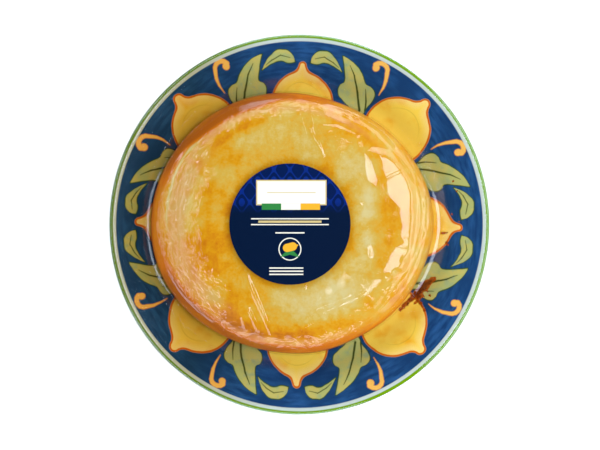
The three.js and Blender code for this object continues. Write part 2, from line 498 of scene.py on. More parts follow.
def stroke(tree, place, start, end, start_width, end_width):
    """Distance outside a brush stroke that tapers from one half-width to the other."""
    way = Vector((*end, 0)) - Vector((*start, 0))
    whole_way = way / way.length_squared
    offset = add_node(tree, "VectorMath", place, (*start, 0), operation="SUBTRACT")
    share = add_node(tree, "VectorMath", offset, whole_way, operation="DOT_PRODUCT", output=1)
    share = add_node(tree, "Math", share, 0.0, operation="ADD", use_clamp=True)
    nearest = add_node(tree, "VectorMath", way, named={"Scale": share}, operation="SCALE")
    aside = add_node(tree, "VectorMath", offset, nearest, operation="DISTANCE", output=1)
    taper = end_width - start_width
    width = add_node(tree, "Math", share, taper, start_width, operation="MULTIPLY_ADD")
    return add_node(tree, "Math", aside, width, operation="SUBTRACT")


def joined(tree, shapes, softness=0.0):
    """The distance outside several shapes, melted together where they meet."""
    whole = shapes[0]
    for shape in shapes[1:]:
        whole = add_node(tree, "Math", whole, shape, softness, operation="SMOOTH_MIN")
    return whole


def brushed_line(tree, place, points, widths):
    """Distance outside a line of strokes whose half-width changes from point to point."""
    pairs = zip(points, points[1:], widths, widths[1:])
    return joined(tree, [stroke(tree, place, *pair) for pair in pairs], 0.2)


def through_points(tree, value, points):
    """A smooth curve through (value, result) points."""
    xs, ys = zip(*points)
    left, right, low, high = min(xs), max(xs), min(ys), max(ys)
    share = add_node(tree, "MapRange", value, left, right, 0.0, 1.0)
    node = tree.nodes.new("ShaderNodeFloatCurve")
    tree.links.new(share, node.inputs["Value"])
    knots = node.mapping.curves[0].points
    spots = [((x - left) / (right - left), (y - low) / (high - low)) for x, y in points]
    knots[0].location, knots[1].location = spots[0], spots[-1]
    for spot in spots[1:-1]:
        knots.new(*spot)
    node.mapping.update()
    return add_node(tree, "MapRange", node.outputs[0], 0.0, 1.0, low, high)


def between(tree, value, low, high):
    """Distance outside a strip between two bounds."""
    under = add_node(tree, "Math", low, value, operation="SUBTRACT")
    over = add_node(tree, "Math", value, high, operation="SUBTRACT")
    return add_node(tree, "Math", under, over, operation="MAXIMUM")


def within(tree, distance, reach=0.0, softness=0.18):
    """1 inside a shape grown by reach, fading to 0 outside."""
    return add_node(tree, "MapRange", distance, reach - softness, reach + softness, 1.0, 0.0)


def along_edge(tree, distance, depth, width):
    """1 on a line of this width that runs at this depth inside a shape's edge."""
    aside = add_node(tree, "Math", distance, depth, operation="ADD")
    aside = add_node(tree, "Math", aside, operation="ABSOLUTE")
    return within(tree, aside, width / 2, LINE_BLUR)


def lemon(tree, below, place, motif, centre, radius, tip):
    """A lemon with its nipple outwards: yellow wash, amber underside, pale light and outline."""
    body = disc(tree, motif, (centre, 0), radius)
    distance = joined(tree, [body, stroke(tree, motif, *tip)], NIPPLE_MELT)
    out = add_node(tree, "SeparateXYZ", motif, output=0)
    shaded = add_node(tree, "MapRange", out, centre - radius * 0.1, centre - radius * 0.8, 0.0, 0.9)
    wash = blend(tree, shaded, LEMON_YELLOW, LEMON_AMBER)
    wash = blend(tree, mottle(tree, place, 7, low=0.45, high=0.9), wash, LEMON_AMBER)
    outer = add_node(tree, "MapRange", out, centre + radius * 0.2, centre + radius * 0.8, 0.0, 0.5)
    depth = add_node(tree, "MapRange", distance, -4.0, -1.2)
    light = add_node(tree, "Math", depth, outer, operation="MULTIPLY")
    wash = blend(tree, light, wash, LEMON_PALE)
    contour = along_edge(tree, distance, *LEMON_CONTOUR_LINE)
    contour = add_node(tree, "Math", contour, outer, operation="MULTIPLY")
    wash = blend(tree, contour, wash, LEMON_CONTOUR)
    outline = along_edge(tree, distance, *LEMON_OUTLINE_LINE)
    wash = blend(tree, outline, wash, LEMON_OUTLINE)
    return blend(tree, within(tree, distance), below, wash)


def leaf(tree, below, place, motif, distance, veins):
    """A leaf: mottled sage wash with a dark outline and veins."""
    wash = blend(tree, mottle(tree, place, 5), LEAF_SAGE, LEAF_OCHRE)
    wash = blend(tree, mottle(tree, place, 3.3, low=0.5, high=0.75), wash, LEAF_GREY)
    for points, widths in veins:
        vein = within(tree, brushed_line(tree, motif, points, widths))
        wash = blend(tree, vein, wash, LEAF_VEIN)
    shade = blend(tree, within(tree, distance, LEAF_OUTLINE_REACH), below, LEAF_OUTLINE)
    return blend(tree, within(tree, distance), shade, wash)


def big_leaf_distance(tree, motif):
    """Distance outside the leaf that stands beside the motif's middle line."""
    out, aside = (add_node(tree, "SeparateXYZ", motif, output=axis) for axis in (0, 1))
    inner = through_points(tree, out, BIG_LEAF_INNER_EDGE)
    outer = through_points(tree, out, BIG_LEAF_OUTER_EDGE)
    sides = between(tree, aside, inner, outer)
    ends = between(tree, out, *BIG_LEAF_ENDS)
    return add_node(tree, "Math", sides, ends, operation="MAXIMUM")


def small_leaf_distance(tree, motif):
    """Distance outside the leaf that lies across the end of the motif."""
    out, aside = (add_node(tree, "SeparateXYZ", motif, output=axis) for axis in (0, 1))
    bottom = through_points(tree, aside, SMALL_LEAF_BOTTOM)
    top = through_points(tree, aside, SMALL_LEAF_TOP)
    sides = between(tree, out, bottom, top)
    ends = between(tree, aside, *SMALL_LEAF_ENDS)
    return add_node(tree, "Math", sides, ends, operation="MAXIMUM")


def curl(tree, below, motif):
    """A brushed tendril that hooks round and ends in a drop."""
    out = CURL_HOOK_CENTRE[0] + CURL_HOOK_RADIUS * np.cos(CURL_HOOK_TURNS)
    aside = CURL_HOOK_CENTRE[1] + CURL_HOOK_RADIUS * np.sin(CURL_HOOK_TURNS)
    widths = np.concatenate([CURL_STEM_WIDTHS, np.linspace(*CURL_HOOK_WIDTHS, len(out))])
    line = brushed_line(tree, motif, [*CURL_STEM, *zip(out, aside)], widths)
    distance = joined(tree, [line, disc(tree, motif, CURL_DROP, CURL_DROP_RADIUS)], 0.3)
    outline = along_edge(tree, distance, *CURL_OUTLINE_LINE)
    wash = blend(tree, outline, CURL_YELLOW, CURL_OUTLINE)
    return blend(tree, within(tree, distance), below, wash)


def painted_ornament(tree, place):
    """Lemons, leaves and curls on cobalt, eight times round, inside a white and a green line.

    Returns the colour and the distance from the plate's axis.
    """
    wavered = hand_wavered(tree, place)
    flat = add_node(tree, "VectorMath", wavered, (1, 1, 0), operation="MULTIPLY")
    radius = add_node(tree, "VectorMath", flat, operation="LENGTH", output=1)
    x, y = (add_node(tree, "SeparateXYZ", wavered, output=axis) for axis in (0, 1))
    angle = add_node(tree, "Math", y, x, operation="ARCTAN2")
    angle = add_node(tree, "Math", angle, ORNAMENT_TURN, operation="ADD")
    fold = add_node(tree, "Math", angle, math.pi / 4, operation="PINGPONG")
    diagonal_fold = add_node(tree, "Math", math.pi / 4, fold, operation="SUBTRACT")
    on_axis = motif_places(tree, radius, fold)
    on_diagonal = motif_places(tree, radius, diagonal_fold)

    around = add_node(tree, "Math", angle, BRUSH_RUN, operation="MULTIPLY")
    brush = add_node(tree, "CombineXYZ", radius, around)
    streaks = mottle(tree, brush, BRUSH_HAIRS, detail=4, low=0.3, high=0.7)
    colour = blend(tree, streaks, COBALT_DEEP, COBALT_WASHED)
    colour = blend(tree, mottle(tree, place, 18, low=0.4, high=0.7), colour, COBALT_DEEP)
    colour = curl(tree, colour, on_axis)
    big_leaf = big_leaf_distance(tree, on_axis)
    colour = leaf(tree, colour, place, on_axis, big_leaf, BIG_LEAF_VEINS)
    small_leaf = small_leaf_distance(tree, on_axis)
    colour = leaf(tree, colour, place, on_axis, small_leaf, SMALL_LEAF_VEINS)
    colour = lemon(tree, colour, place, on_diagonal, *DIAGONAL_LEMON)
    colour = lemon(tree, colour, place, on_axis, *AXIS_LEMON)

    true_flat = add_node(tree, "VectorMath", place, (1, 1, 0), operation="MULTIPLY")
    true_radius = add_node(tree, "VectorMath", true_flat, operation="LENGTH", output=1)
    for line, shade in ((WHITE_LINE_RADIUS, WHITE_GLAZE), (GREEN_LINE_RADIUS, GREEN_LINE)):
        beyond = add_node(tree, "MapRange", true_radius, line - LINE_BLUR, line + LINE_BLUR)
        colour = blend(tree, beyond, colour, shade)
    # Painted shade: every colour is darkened towards the left, where the cheese shades the plate.
    across = add_node(tree, "SeparateXYZ", place, output=0)
    left_shade = add_node(tree, "MapRange", across, *LEFT_SHADE_SPAN)
    layers = {0: left_shade, 6: colour, 7: LEFT_SHADE_TINT}
    colour = add_node(tree, "Mix", named=layers, output=2, data_type="RGBA", blend_type="MULTIPLY")
    return colour, true_radius


def glaze():
    """Majolica: opaque colours brushed on raw glaze, which the kiln turns to a hard, glassy gloss."""
    material, tree = new_material("majolica_glaze")
    place = in_millimetres(tree)
    front, radius = painted_ornament(tree, place)
    normal = add_node(tree, "TexCoord", output="Normal")
    upwards = add_node(tree, "SeparateXYZ", normal, output=2)
    under = add_node(tree, "Math", upwards, UNDERSIDE_FACING, operation="LESS_THAN")
    inside_lip = add_node(tree, "Math", radius, GREEN_LINE_RADIUS, operation="LESS_THAN")
    under = add_node(tree, "Math", under, inside_lip, operation="MULTIPLY")
    colour = blend(tree, under, front, WHITE_GLAZE)
    level = add_node(tree, "SeparateXYZ", place, output=2)
    bare = add_node(tree, "Math", level, BARE_FOOT_LEVEL, operation="LESS_THAN")
    colour = blend(tree, bare, colour, BISCUIT)
    roughness = add_node(tree, "MapRange", bare, 0.0, 1.0, 0.1, 0.75)
    settings = {"Base Color": colour, "Roughness": roughness, "IOR": 1.5}
    show(tree, add_node(tree, "BsdfPrincipled", named=settings))
    return material


def make_plate():
    plate = turned("painted_plate", plate_profile(), PLATE_STEPS)
    stands_for(plate, "plate", glaze())


# ---- Cheese ----

CREAM = linear("#d0bd7e")
GOLDEN = linear("#cca644")
AMBER = linear("#d3940f")
TOASTED = linear("#c5740e")
BROWN = linear("#94480e")
# A pinkish colour painted where the film's reflection lies on the shoulder.
SHEEN_PINK = linear("#d0966c")
SIDE = linear("#c46808")
SIDE_FOOT = linear("#7a3a06")
# The shades over cream and down the side, browning and painted shade, each with the range over which
# it comes in.
BROWNING_SHADES = [(-0.9, 0.1, GOLDEN), (0.1, 0.8, AMBER), (0.7, 1.5, TOASTED), (1.4, 2.2, BROWN)]
SIDE_SHADES = [(0.0, 0.35, SIDE), (0.4, 0.8, SIDE_FOOT)]

# Spots where the crust browned or stayed pale: x, y, radius, strength.
BROWNED = [
    (-27, 27.5, 3, 0.56), (-36, 16.5, 2.2, 0.49), (-38, 9, 3.8, 0.63), (-31, 37.5, 2.6, 0.49),
    (-3.5, 27.5, 3, 0.35), (-29.5, 5, 2.6, 0.42), (-29, -6, 3, 0.3), (-38, -8, 5.6, 0.5),
    (-38.5, -16, 3.6, 0.25), (-28, -36.5, 3, 0.56), (-6, -43, 4, 0.28), (-42.4, 26, 2.6, 0.9),
    (19, 43, 5.2, 0.42), (26, 39.5, 3.4, 0.36), (32, 32, 2.8, 0.42), (36.5, 24.5, 2.8, 0.42),
    (34, 17, 3, 0.42), (39, 7.5, 3.8, 0.49), (36.5, 0, 4.4, 0.49), (36.5, -7, 3.8, 0.49),
    (34.5, -15, 3.2, 0.42), (12.5, 25, 3, 0.42), (20, 14, 2.6, 0.35), (21, -7.5, 2.5, 0.35),
    (20, -40.5, 4.2, 0.35), (39, -32.5, 3, 0.56), (43, -27, 3, 0.42), (29, -32.5, 2.2, 0.35),
]
PALE = [
    (21.5, 22.5, 5.6, 0.8), (28.5, 12, 3, 0.9), (28, 4, 3.2, 1.2), (28, -6.5, 3.2, 1.1),
    (27, -15, 3.2, 0.8), (17, -27, 7.6, 0.9), (9, -33, 6, 0.6), (-5, -31, 4.4, 0.6),
    (-35, -29, 3.8, 0.6), (-24, -27, 3.8, 0.4), (-22.5, 33, 4.8, 0.35), (-11, 40, 6, 0.5),
    (-45.5, 10, 3.6, 0.7), (3, 34, 3.8, 0.5), (-45, -1, 3, 0.6), (-3, -37, 5, 0.5),
]
SPOT_SPREAD = 1.3
# Arcs just inside the shoulder that browned more: points, width and strength.
BROWNED_ARCS = [
    ([(-38, 29), (-25.6, 39.3), (-12, 44.3)], 2.6, 0.9),
    ([(6, 46), (21, 42), (33, 33)], 2.2, 0.3),
    ([(-38, -32.5), (-27, -41.3), (-15, -44.8), (-3, -45.6), (9, -43.8), (20, -38.5)], 3.0, 1.0),
]
# A thin lighter line along the left edge.
PALE_EDGE = [
    (-38.0, 37.6), (-44.9, 32.2), (-48.7, 27.2), (-52.2, 19.8), (-54.3, 11.8), (-55.2, 4.0),
    (-55.0, -4.0),
]
# Bands inside the shoulder painted pinkish to stand for the film's reflection there: strength,
# direction and spread in degrees, and the shares between which each comes in and goes out.
SHEEN_BANDS = [
    (0.4, 187, 58, (0.72, 0.77), (0.84, 0.9)),
    (0.3, 105, 75, (0.83, 0.86), (0.87, 0.895)),
    (0.3, 255, 65, (0.87, 0.89), (0.92, 0.96)),
]
# Zones that browned more, and one on the right shoulder kept paler as painted light: strength,
# direction and spread in degrees, and the shares between which each comes in.
BAKED_AND_LIT_ZONES = [
    (-0.5, 15, 85, (0.82, 0.93)),
    (0.42, 216, 50, (0.42, 0.55)),
]
# Browning all round: strength, and the shares, or the distances from the label, that it spans.
EDGE_BROWNING = (0.5, (0.8, 0.95))
LABEL_BROWNING = (0.45, (0.5, 3.5))
MIDDLE_BROWNING = 0.35
PALE_EDGE_STRENGTH = 2.0
PALE_EDGE_WIDTH = 0.45
# Noise on the crust: size, weight and layer. SPOT_STRAYING has reach, size and two layers.
MOTTLE_SWELLS = [(8, 0.45, 3.0), (3.0, 0.4, 4.0), (1.2, 0.25, 5.0)]
SPOT_STRAYING = [(1.6, 3.4, 0.0, 7.5), (0.7, 1.3, 0.0, 7.5)]
CRUST_ROUGHNESS = [(2.2, 0.07, 1.0), (0.9, 0.04, 2.0)]
# Where painted shade darkens the side round the left: a share with dips, as depth, direction and
# spread in degrees.
DARK_SIDE_START = (0.905, [(0.04, 120, 28), (0.03, 213, 32)])
DARK_SIDE_FADE = 0.05
DARK_SIDE_STRENGTH = 0.62
SMOOTH_FOOT_SHARE = 0.99
CHEESE_STEPS = 480
UNDERSIDE_SHARES = (0.985, 0.96, 0.92, 0.85, 0.6, 0)


def bake(x, y, share):
    """How far the crust browned, with the right shoulder paler as painted light: -1 where cream, 0
    where golden and over 1 where nearly burnt.
    """
    browning = MIDDLE_BROWNING + rough(x, y, MOTTLE_SWELLS)
    strayed_x, strayed_y = strayed(x, y, SPOT_STRAYING)
    for spots, sign in ((BROWNED, 1), (PALE, -1)):
        for spot_x, spot_y, radius, strength in spots:
            away = np.hypot(strayed_x - spot_x, strayed_y - spot_y) / (SPOT_SPREAD * radius)
            browning += sign * strength * np.exp(-away * away)
    strength, reach = LABEL_BROWNING
    browning += strength * (1 - step_up(from_label(x, y), *reach))
    edge = share + 0.02 * cloud(x, y, 6, 9.0)
    strength, comes_in = EDGE_BROWNING
    browning += strength * step_up(edge, *comes_in)
    browning += sum(crease(strayed_x, strayed_y, *arc) for arc in BROWNED_ARCS)
    angle = from_cheese_centre(x, y)[0]
    # The zone on the right shoulder makes it paler: painted light.
    for strength, middle, spread, comes_in in BAKED_AND_LIT_ZONES:
        browning += strength * facing(angle, middle, spread) * step_up(edge, *comes_in)
    return browning - crease(x, y, PALE_EDGE, PALE_EDGE_WIDTH, PALE_EDGE_STRENGTH)


def painted_sheen(angle, share):
    """Painted reflection: where the film over the shoulder is painted pinkish, standing for what it
    mirrors.
    """
    bands = []
    for strength, middle, spread, comes_in, goes_out in SHEEN_BANDS:
        band = strength * facing(angle, middle, spread)
        bands.append(band * step_up(share, *comes_in) * (1 - step_up(share, *goes_out)))
    return np.maximum.reduce(bands)


def crust():
    """Baked curd: moist and soft, cream where it set and amber where it browned, with pinkish painted
    reflection inside the shoulder and painted shade down the side.
    """
    material, tree = new_material("baked_curd_crust")
    place = in_millimetres(tree)
    browning = add_node(tree, "Attribute", output="Fac", attribute_name="browning")
    grain = add_node(tree, "TexNoise", named={"Vector": place, "Scale": 1.1, "Detail": 4.0})
    grain = add_node(tree, "Math", grain, 0.5, operation="SUBTRACT")
    browning = add_node(tree, "Math", grain, 0.9, browning, operation="MULTIPLY_ADD")
    colour = CREAM
    for start, end, shade in BROWNING_SHADES:
        share = add_node(tree, "MapRange", browning, start, end)
        colour = blend(tree, share, colour, shade)
    # Painted reflection: pinkish bands standing for what the film mirrors inside the shoulder.
    pink = add_node(tree, "Attribute", output="Fac", attribute_name="painted_sheen")
    colour = blend(tree, pink, colour, SHEEN_PINK)
    # Down the side: browning, with painted shade round the left and painted light at the right.
    down = add_node(tree, "Attribute", output="Fac", attribute_name="down")
    for start, end, shade in SIDE_SHADES:
        share = add_node(tree, "MapRange", down, start, end)
        colour = blend(tree, share, colour, shade)
    settings = {"Base Color": colour, "Roughness": 0.5, "IOR": 1.4, "Specular IOR Level": 0.1}
    show(tree, add_node(tree, "BsdfPrincipled", named=settings))
    return material


def side_browning_and_shade(angle, share, drop):
    """How dark the side is: browned against the hot tin towards the foot, with painted shade round the
    left, and paler at the right as painted light; 0 on top, 1 at the foot.
    """
    down = step_up(drop, 0.22, 1.0)
    start = dipping(angle, *DARK_SIDE_START)
    # Painted shade round the left side, where it lies in shadow.
    side_shade = facing(angle, 180, 165) * step_up(share, start, start + DARK_SIDE_FADE)
    side_shade *= 1 - 0.6 * facing(angle, 180, 28)
    # Paler at the right: painted light where the light falls on it.
    return np.maximum(down, DARK_SIDE_STRENGTH * side_shade) * (1 - 0.8 * facing(angle, 15, 85))


def make_cheese():
    around = np.linspace(0, math.tau, CHEESE_STEPS, endpoint=False)
    top = [cheese_top(around, turn) for turn in turns_down(math.pi / 2)]
    under = [cheese_foot(around, share) for share in UNDERSIDE_SHARES]
    rings = np.array(top + under)
    x, y, level = (rings[..., axis] for axis in range(3))
    angle, share = from_cheese_centre(x, y)
    rings = lifted(rings, np.where(share < SMOOTH_FOOT_SHARE, rough(x, y, CRUST_ROUGHNESS), 0))
    top_level = WELL_LEVEL + CHEESE_HEIGHT
    drop = (top_level - level) / (top_level - cheese_foot(around)[..., 2])
    marks = {
        "browning": bake(x, y, share),
        "down": side_browning_and_shade(angle, share, drop),
        "painted_sheen": painted_sheen(angle, share),
    }
    cheese = ringed("baked_ricotta", rings, marks)
    stands_for(cheese, "ricotta", crust())


# ---- Film ----

# Folds pulled into the film as it shrank: points, width and height. The two long ones at the right
# run side by side along the shoulder.
RIGHT_FOLD = [
    (33.7, 38.6), (42.8, 28.7), (46.9, 22.2), (49.2, 10.6), (49.4, -0.2), (45.1, -19.6),
    (37.4, -29.1),
]
OUTER_RIGHT_FOLD = [
    (33.9, 41.1), (43.2, 31.2), (50.4, 20.1), (53.3, 10.6), (53.5, -0.2), (48.0, -19.6),
    (39.8, -31.4),
]
CREASES = [
    ([(-22.2, -19.6), (-17.1, -32.4), (-10.9, -46.8)], 0.7, 0.55),
    ([(-24.5, -16.7), (-19.6, -28.2), (-13.9, -39.7)], 0.5, 0.3),
    ([(-21.6, -33.6), (-16.8, -44.3)], 0.7, 0.5),
    ([(-24.1, -36.1), (-21.0, -46.8)], 0.7, 0.5),
    ([(-45.7, -22.5), (-42.3, -31.5), (-36.5, -37.7), (-30.4, -42.3)], 0.8, 0.6),
    ([(-42.5, -26.0), (-39.0, -31.5), (-34.5, -36.0)], 0.6, 0.45),
    (RIGHT_FOLD, 0.7, 0.4),
    (OUTER_RIGHT_FOLD, 0.6, 0.4),
    ([(46.0, 27.0), (51.8, 14.0), (51.6, -4.0), (46.5, -17.5)], 0.6, 0.35),
    ([(21.3, -29.1), (9.3, -34.8), (-3.9, -41.5)], 0.5, 0.4),
    ([(23.8, -30.7), (10.6, -36.5), (0.2, -43.5)], 0.5, 0.4),
    ([(18.4, -29.9), (6.4, -35.7), (-6.4, -40.2)], 0.45, 0.3),
    ([(27.5, -27.0), (15.9, -33.6), (7.7, -38.1)], 0.45, 0.3),
    ([(38.6, -24.4), (30.0, -34.0), (16.2, -43.1)], 0.6, 0.45),
    ([(40.7, -26.2), (31.6, -36.1), (20.9, -43.9)], 0.6, 0.4),
    ([(-0.3, 48.1), (1.5, 41.1), (3.8, 32.9)], 0.5, 0.35),
    ([(1.9, 46.5), (6.0, 37.4), (10.2, 27.5)], 0.5, 0.35),
    ([(4.0, 48.1), (5.2, 42.3), (5.6, 36.6)], 0.45, 0.3),
    ([(7.9, 40.7), (15.1, 39.9), (20.9, 37.6), (24.6, 36.2)], 0.8, 0.45),
    ([(-54.2, 18.4), (-55.1, 10.2), (-54.2, -0.2), (-52.2, -10.5)], 0.7, 0.4),
    ([(-48.0, 31.6), (-52.6, 23.4), (-54.7, 15.9)], 0.7, 0.4),
    ([(27.8, -8.2), (28.0, -14.5)], 1.5, 0.35),
    ([(44.4, 27.7), (34.9, 38.3), (23.2, 45.9), (10.4, 50.6)], 0.8, 0.6),
]
# Facets where the film is stretched taut over the shoulder at the right: direction in degrees, and
# the shares of the way out between which the film falls more steeply.
SHOULDER_FACET = [
    (-27, 0.735, 0.75), (-25, 0.733, 0.78), (-22, 0.732, 0.81), (-18, 0.732, 0.822),
    (-13, 0.745, 0.828), (-10, 0.79, 0.815), (-9, 0.797, 0.81), (-8, 0.785, 0.80),
    (-6.5, 0.765, 0.812), (-4, 0.76, 0.81), (0, 0.762, 0.80), (3, 0.757, 0.805),
    (6, 0.752, 0.817), (8, 0.765, 0.82), (11, 0.735, 0.84), (14, 0.715, 0.85),
    (18, 0.705, 0.855), (22, 0.725, 0.855), (27, 0.745, 0.85), (31, 0.765, 0.845),
    (34, 0.79, 0.83), (36, 0.80, 0.82),
]
STREAK_FACET = [
    (24, 0.655, 0.66), (27, 0.635, 0.68), (30, 0.625, 0.693), (33.5, 0.645, 0.709),
    (36.8, 0.665, 0.73), (44, 0.735, 0.745),
]
# How steeply the facets fall and the taut film between them, and by how much it stays flatter than
# the cheese.
FACET_SLOPE = 0.145
TAUT_SLOPE = 0.055
TAUT_STIFFNESS = 0.038
# The share where the taut film leaves the cheese, the share where it starts to come down to it
# again, by direction, and how far on it has come down.
TAUT_START = 0.46
TAUT_END = [
    (-42, 0.5), (-27, 0.755), (-22, 0.815), (-13, 0.833), (-8, 0.815), (0, 0.81), (8, 0.825),
    (14, 0.85), (22, 0.86), (31, 0.85), (36, 0.825), (44, 0.75), (66, 0.74), (84, 0.5),
]
TAUT_RELEASE = 0.08
# Flat strips at the film's foot: direction and spread in degrees, width, slope, and how much further
# out than elsewhere they start.
FOOT_STRIP_RIGHT = (-9, 36, 2.1, 0.134, 0.45)
FOOT_STRIP_LEFT = (184, 36, 2.0, -0.187, -0.4)
FOOT_STRIP_LEAST_WIDTH = 0.6
# How far outside the cheese's foot the film meets the plate.
FILM_CORNER = 0.6
FILM_STEPS = 720
# Rows of the film across the strip and from there to the rim, as shares, and round the lip in degrees.
STRIP_ROWS = (0.04, 0.24, 0.82, 0.97, 1.0)
RIM_ROWS = (0.02, 0.04, 0.07, 0.12, 0.25, 0.5, 0.75, 0.88, 0.94, 0.97, 0.99, 1.0)
LIP_ROWS = (100, 85, 65, 40, 10, -20, -50, -75)
BRIDGE_ROWS = 6
# How much of the film mirrors from straight on, and how much more at a grazing angle.
FILM_MIRROR = 0.08
FILM_GRAZING_MIRROR = 0.2
# Roughness and depth of fine wrinkles, where the film is taut and where it is crumpled.
FILM_ROUGHNESS = (0.06, 0.08)
FILM_WRINKLES = (0.03, 0.14)
# Small bumps in the film: x, y.
PIMPLES = [(25, 33), (33.3, 28.7), (24.7, 8.6), (35.3, -22), (25, -25.8), (1.9, -25.8), (29.2, -30.3)]
PIMPLE_HEIGHT = 0.35
PIMPLE_SPREAD = 0.6
# Waves that run round the cheese's side: strength, direction and spread, and shares of coming in.
SIDE_WAVES = [
    (1.0, 5, 60, (0.84, 0.9)),
    (0.8, 182, 60, (0.88, 0.93)),
]
WAVE_HEIGHT = 0.11
WAVES_PER_SHARE = 150
SLACK_HEIGHT = 0.08

# Where the film is crumpled all over: direction and spread in degrees, and the shares between which
# the crumpling comes in.
CRUMPLED_ZONES = [
    (187, 62, 0.61, 0.7),
    (118, 50, 0.78, 0.84),
    (255, 60, 0.84, 0.9),
]
# Where the crumpling ends and where every crease ends: a share with dips, as depth, direction and
# spread in degrees.
CRUMPLED_END = (0.92, [(0.05, 125, 45), (0.035, 215, 32)])
CREASED_END = (1.0, [(0.035, 184, 60)])
CREASES_FADE = 0.04
# Ridges of the crumpling: width, height and layer of noise.
CRUMPLE_RIDGES = [(2.2, 0.4, 11.0), (1.2, 0.25, 12.0)]
RIDGE_SHARPNESS = 0.28
# Bands of short folds: the directions and shares that each spans, folds in it, and how far each
# fold leans off the edge's run, in degrees.
FOLDED_BANDS = [
    ((145, 225), (0.65, 0.78), 80, (-40, 40)),
    ((130, 235), (0.78, 0.92), 40, (-20, 20)),
    ((92, 150), (0.82, 0.91), 50, (25, 75)),
    ((55, 95), (0.86, 0.93), 12, (-30, 30)),
    ((200, 300), (0.85, 0.93), 55, (-45, 30)),
    ((300, 350), (0.78, 0.92), 12, (-12, 12)),
]
FOLD_HALF_LENGTHS = (1.0, 2.8)
FOLD_WIDTHS = (0.4, 0.65)
FOLD_HEIGHTS = (0.25, 0.6)


def small_folds():
    """Short folds scattered over the bands: points, width and height."""
    folds = []
    for directions, shares, count, leans in FOLDED_BANDS:
        for _ in range(count):
            angle = math.radians(random.uniform(*directions))
            x, y = cheese_plan(angle, random.uniform(*shares))
            lean = angle + math.pi / 2 + math.radians(random.uniform(*leans))
            half = random.uniform(*FOLD_HALF_LENGTHS)
            way_x, way_y = half * math.cos(lean), half * math.sin(lean)
            points = [(x - way_x, y - way_y), (x + way_x, y + way_y)]
            width = random.uniform(*FOLD_WIDTHS)
            folds.append((points, width, random.uniform(*FOLD_HEIGHTS)))
    return folds


def within_crumpled(angle, share):
    """1 up to the foot of the shoulder, where the film lies smooth again, and 0 beyond."""
    end = dipping(angle, *CRUMPLED_END)
    return 1 - step_up(share, end, end + CREASES_FADE)


def crumple(angle, share):
    """Where the film is crumpled: round the left side, and in a band on the shoulder elsewhere."""
    zones = []
    for middle, spread, start, end in CRUMPLED_ZONES:
        zones.append(facing(angle, middle, spread) * step_up(share, start, end))
    return np.maximum.reduce(zones) * within_crumpled(angle, share)


def film_lift(x, y):
    """How far the creased film stands off the smooth one."""
    angle, share = from_cheese_centre(x, y)
    lift = sum(crease(x, y, *fold) for fold in small_folds()) * within_crumpled(angle, share)
    lift += sum(crease(x, y, *fold) for fold in CREASES)
    for spot_x, spot_y in PIMPLES:
        away = (x - spot_x) ** 2 + (y - spot_y) ** 2
        lift += PIMPLE_HEIGHT * np.exp(-away / PIMPLE_SPREAD)
    along = CHEESE_MEAN_RADIUS * np.radians(angle)
    out = CHEESE_MEAN_RADIUS * share + 1.6 * cloud(x, y, 7, 16.0)
    for width, height, layer in CRUMPLE_RIDGES:
        ridges = np.clip(1 - np.abs(cloud(along / 4, out, width, layer)) / RIDGE_SHARPNESS, 0, 1)
        lift += height * ridges * crumple(angle, share)
    waves = np.sin(WAVES_PER_SHARE * share + 3 * cloud(x, y, 9, 13.0))
    waves *= 0.7 + 0.6 * cloud(x, y, 6, 15.0)
    for strength, middle, spread, comes_in in SIDE_WAVES:
        zone = strength * facing(angle, middle, spread) * step_up(share, *comes_in)
        lift += WAVE_HEIGHT * (1 + waves) * zone
    past_label = from_label(x, y)
    lift += SLACK_HEIGHT * (1 + cloud(x, y, 5, 14.0)) * step_up(past_label, 0, 6)
    end = dipping(angle, *CREASED_END)
    return lift * (1 - step_up(share, end - CREASES_FADE, end)) * step_up(past_label, -2, 1)


def taut_lift(rings):
    """How far the film stands off the shoulder where it is taut: nearly level, but for its facets."""
    x, y, level = (rings[..., axis] for axis in range(3))
    angle, share = from_cheese_centre(x, y)
    angle = (angle + 180) % 360 - 180
    run = np.diff(np.hypot(x - CHEESE_CENTRE[0], y - CHEESE_CENTRE[1]), axis=0, prepend=0)
    slope = -np.diff(level, axis=0, prepend=level[:1]) / np.maximum(run, 1e-6)
    wanted = np.minimum(slope - TAUT_STIFFNESS, TAUT_SLOPE)
    for facet in (SHOULDER_FACET, STREAK_FACET):
        directions, starts, ends = np.array(facet).T
        start = np.interp(angle, directions, starts, left=1, right=1)
        end = np.interp(angle, directions, ends, left=0, right=0)
        wanted = np.where((share > start) & (share < end), FACET_SLOPE, wanted)
    last = np.interp(angle, *np.array(TAUT_END).T)
    gain = np.where((share > TAUT_START) & (share < last), (slope - wanted) * run, 0)
    lift = np.maximum(np.cumsum(gain, axis=0), 0)
    return lift * (1 - step_up(share, last, last + TAUT_RELEASE))


